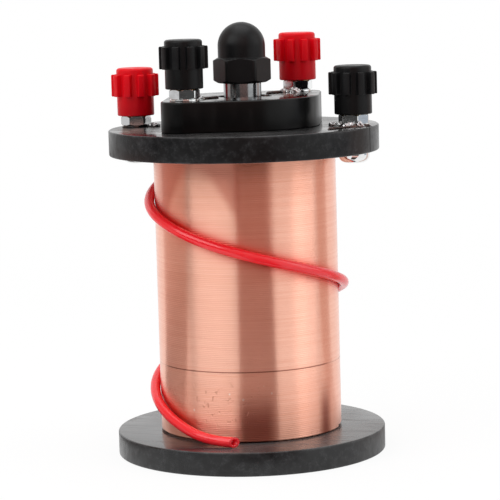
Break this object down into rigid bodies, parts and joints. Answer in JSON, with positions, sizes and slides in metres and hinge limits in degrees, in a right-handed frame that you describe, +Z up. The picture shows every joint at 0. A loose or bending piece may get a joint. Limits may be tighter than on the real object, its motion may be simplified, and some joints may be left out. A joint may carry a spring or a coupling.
{
  "type": "induction coil",
  "caption": "Demountable classroom induction coil: copper secondary on a flanged bobbin, lift-out primary with a black cap, lift-out iron core, red and black binding posts.",
  "frame": {"origin": "middle of the base flange's underside", "axes": "+Z up along the coil's axis; +X from the coil's axis to the black post on the top flange"},
  "size_m": [0.0812, 0.08, 0.1278],
  "materials": {
    "board_black": "satin black board with a machined rim",
    "cap_black": "polished black plastic",
    "tube_card": "varnished card",
    "copper_winding": "enamelled copper wire",
    "sleeve_red": "soft red plastic tube",
    "plated_metal": "bright plating",
    "lead_enamel": "dark enamelled copper wire",
    "iron": "turned soft iron",
    "knob_black": "moulded black plastic",
    "knob_red": "moulded red plastic",
    "insert_brass": "turned brass"
  },
  "bodies": {
    "secondary": {"base_flange": "board_black", "top_flange": "board_black", "bobbin_tube": "tube_card", "secondary_inner_layers": "copper_winding", "secondary_outer_layer": "copper_winding", "direction_sleeve": "sleeve_red", "outer_post_screws": "plated_metal", "outer_solder_lugs": "plated_metal", "outer_hex_nuts": "plated_metal", "secondary_leads": "lead_enamel"},
    "primary": {"primary_cap": "cap_black", "primary_tube": "tube_card", "primary_winding": "copper_winding", "primary_end_collar": "tube_card", "inner_post_screws": "plated_metal", "inner_solder_lugs": "plated_metal", "inner_hex_nuts": "plated_metal", "primary_leads": "lead_enamel"},
    "core": {"iron_core": "iron", "core_knob": "knob_black"},
    "outer_red_insert": {"outer_red_insert": "insert_brass"},
    "outer_red_knob": {"outer_red_knob": "knob_red"},
    "outer_black_insert": {"outer_black_insert": "insert_brass"},
    "outer_black_knob": {"outer_black_knob": "knob_black"},
    "inner_red_insert": {"inner_red_insert": "insert_brass"},
    "inner_red_knob": {"inner_red_knob": "knob_red"},
    "inner_black_insert": {"inner_black_insert": "insert_brass"},
    "inner_black_knob": {"inner_black_knob": "knob_black"}
  },
  "joints": [
    {"name": "primary_lift", "type": "slide", "parent": "secondary", "child": "primary", "axis": [0, 0, 1], "range_m": [0, 0.1]},
    {"name": "core_lift", "type": "slide", "parent": "primary", "child": "core", "axis": [0, 0, 1], "range_m": [0, 0.105]},
    {"name": "outer_red_rise", "type": "slide", "parent": "secondary", "child": "outer_red_insert", "axis": [0, 0, 1], "range_m": [0, 0.0038]},
    {"name": "outer_red_turn", "type": "hinge", "parent": "outer_red_insert", "child": "outer_red_knob", "pos_m": [-0.0336, 0, 0.1005], "axis": [0, 0, 1], "range_deg": [0, 1710]},
    {"name": "outer_black_rise", "type": "slide", "parent": "secondary", "child": "outer_black_insert", "axis": [0, 0, 1], "range_m": [0, 0.0038]},
    {"name": "outer_black_turn", "type": "hinge", "parent": "outer_black_insert", "child": "outer_black_knob", "pos_m": [0.0336, 0, 0.1005], "axis": [0, 0, 1], "range_deg": [0, 1710]},
    {"name": "inner_red_rise", "type": "slide", "parent": "primary", "child": "inner_red_insert", "axis": [0, 0, 1], "range_m": [0, 0.0038]},
    {"name": "inner_red_turn", "type": "hinge", "parent": "inner_red_insert", "child": "inner_red_knob", "pos_m": [0.0113, 0.02038, 0.1095], "axis": [0, 0, 1], "range_deg": [0, 1710]},
    {"name": "inner_black_rise", "type": "slide", "parent": "primary", "child": "inner_black_insert", "axis": [0, 0, 1], "range_m": [0, 0.0038]},
    {"name": "inner_black_turn", "type": "hinge", "parent": "inner_black_insert", "child": "inner_black_knob", "pos_m": [-0.0113, -0.02038, 0.1095], "axis": [0, 0, 1], "range_deg": [0, 1710]}
  ],
  "couplings": [
    {"joint": "outer_red_turn", "follows": "outer_red_rise", "rad_per_m": 7854},
    {"joint": "outer_black_turn", "follows": "outer_black_rise", "rad_per_m": 7854},
    {"joint": "inner_red_turn", "follows": "inner_red_rise", "rad_per_m": 7854},
    {"joint": "inner_black_turn", "follows": "inner_black_rise", "rad_per_m": 7854}
  ]
}
